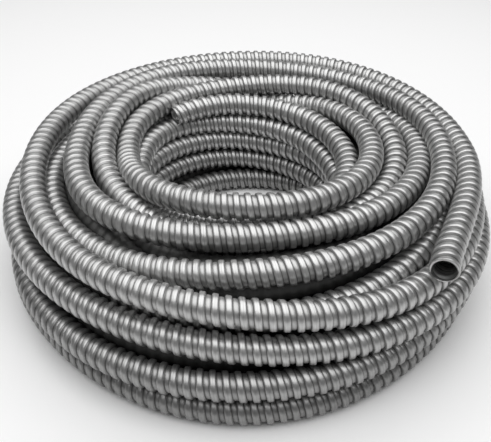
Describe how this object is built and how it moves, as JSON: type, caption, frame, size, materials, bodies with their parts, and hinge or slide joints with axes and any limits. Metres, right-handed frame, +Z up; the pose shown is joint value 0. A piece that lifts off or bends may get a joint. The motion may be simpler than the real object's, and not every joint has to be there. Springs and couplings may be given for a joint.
{
  "type": "flexible metal conduit coil",
  "caption": "Coil of flexible metal conduit, wound in a ring of ribbed turns round an open eye, with both cut ends lying open on top.",
  "frame": {"origin": "the coil's axis, at the floor that the coil lies on", "axes": "+Z up along the coil's axis; +X to the right and -Y towards the viewer in the picture"},
  "size_m": [0.5511, 0.5512, 0.1348],
  "materials": {
    "galvanised_steel": "satin"
  },
  "bodies": {
    "root": {"conduit_coil": "galvanised_steel", "outer_end": "galvanised_steel", "inner_end": "galvanised_steel"}
  },
  "joints": []
}
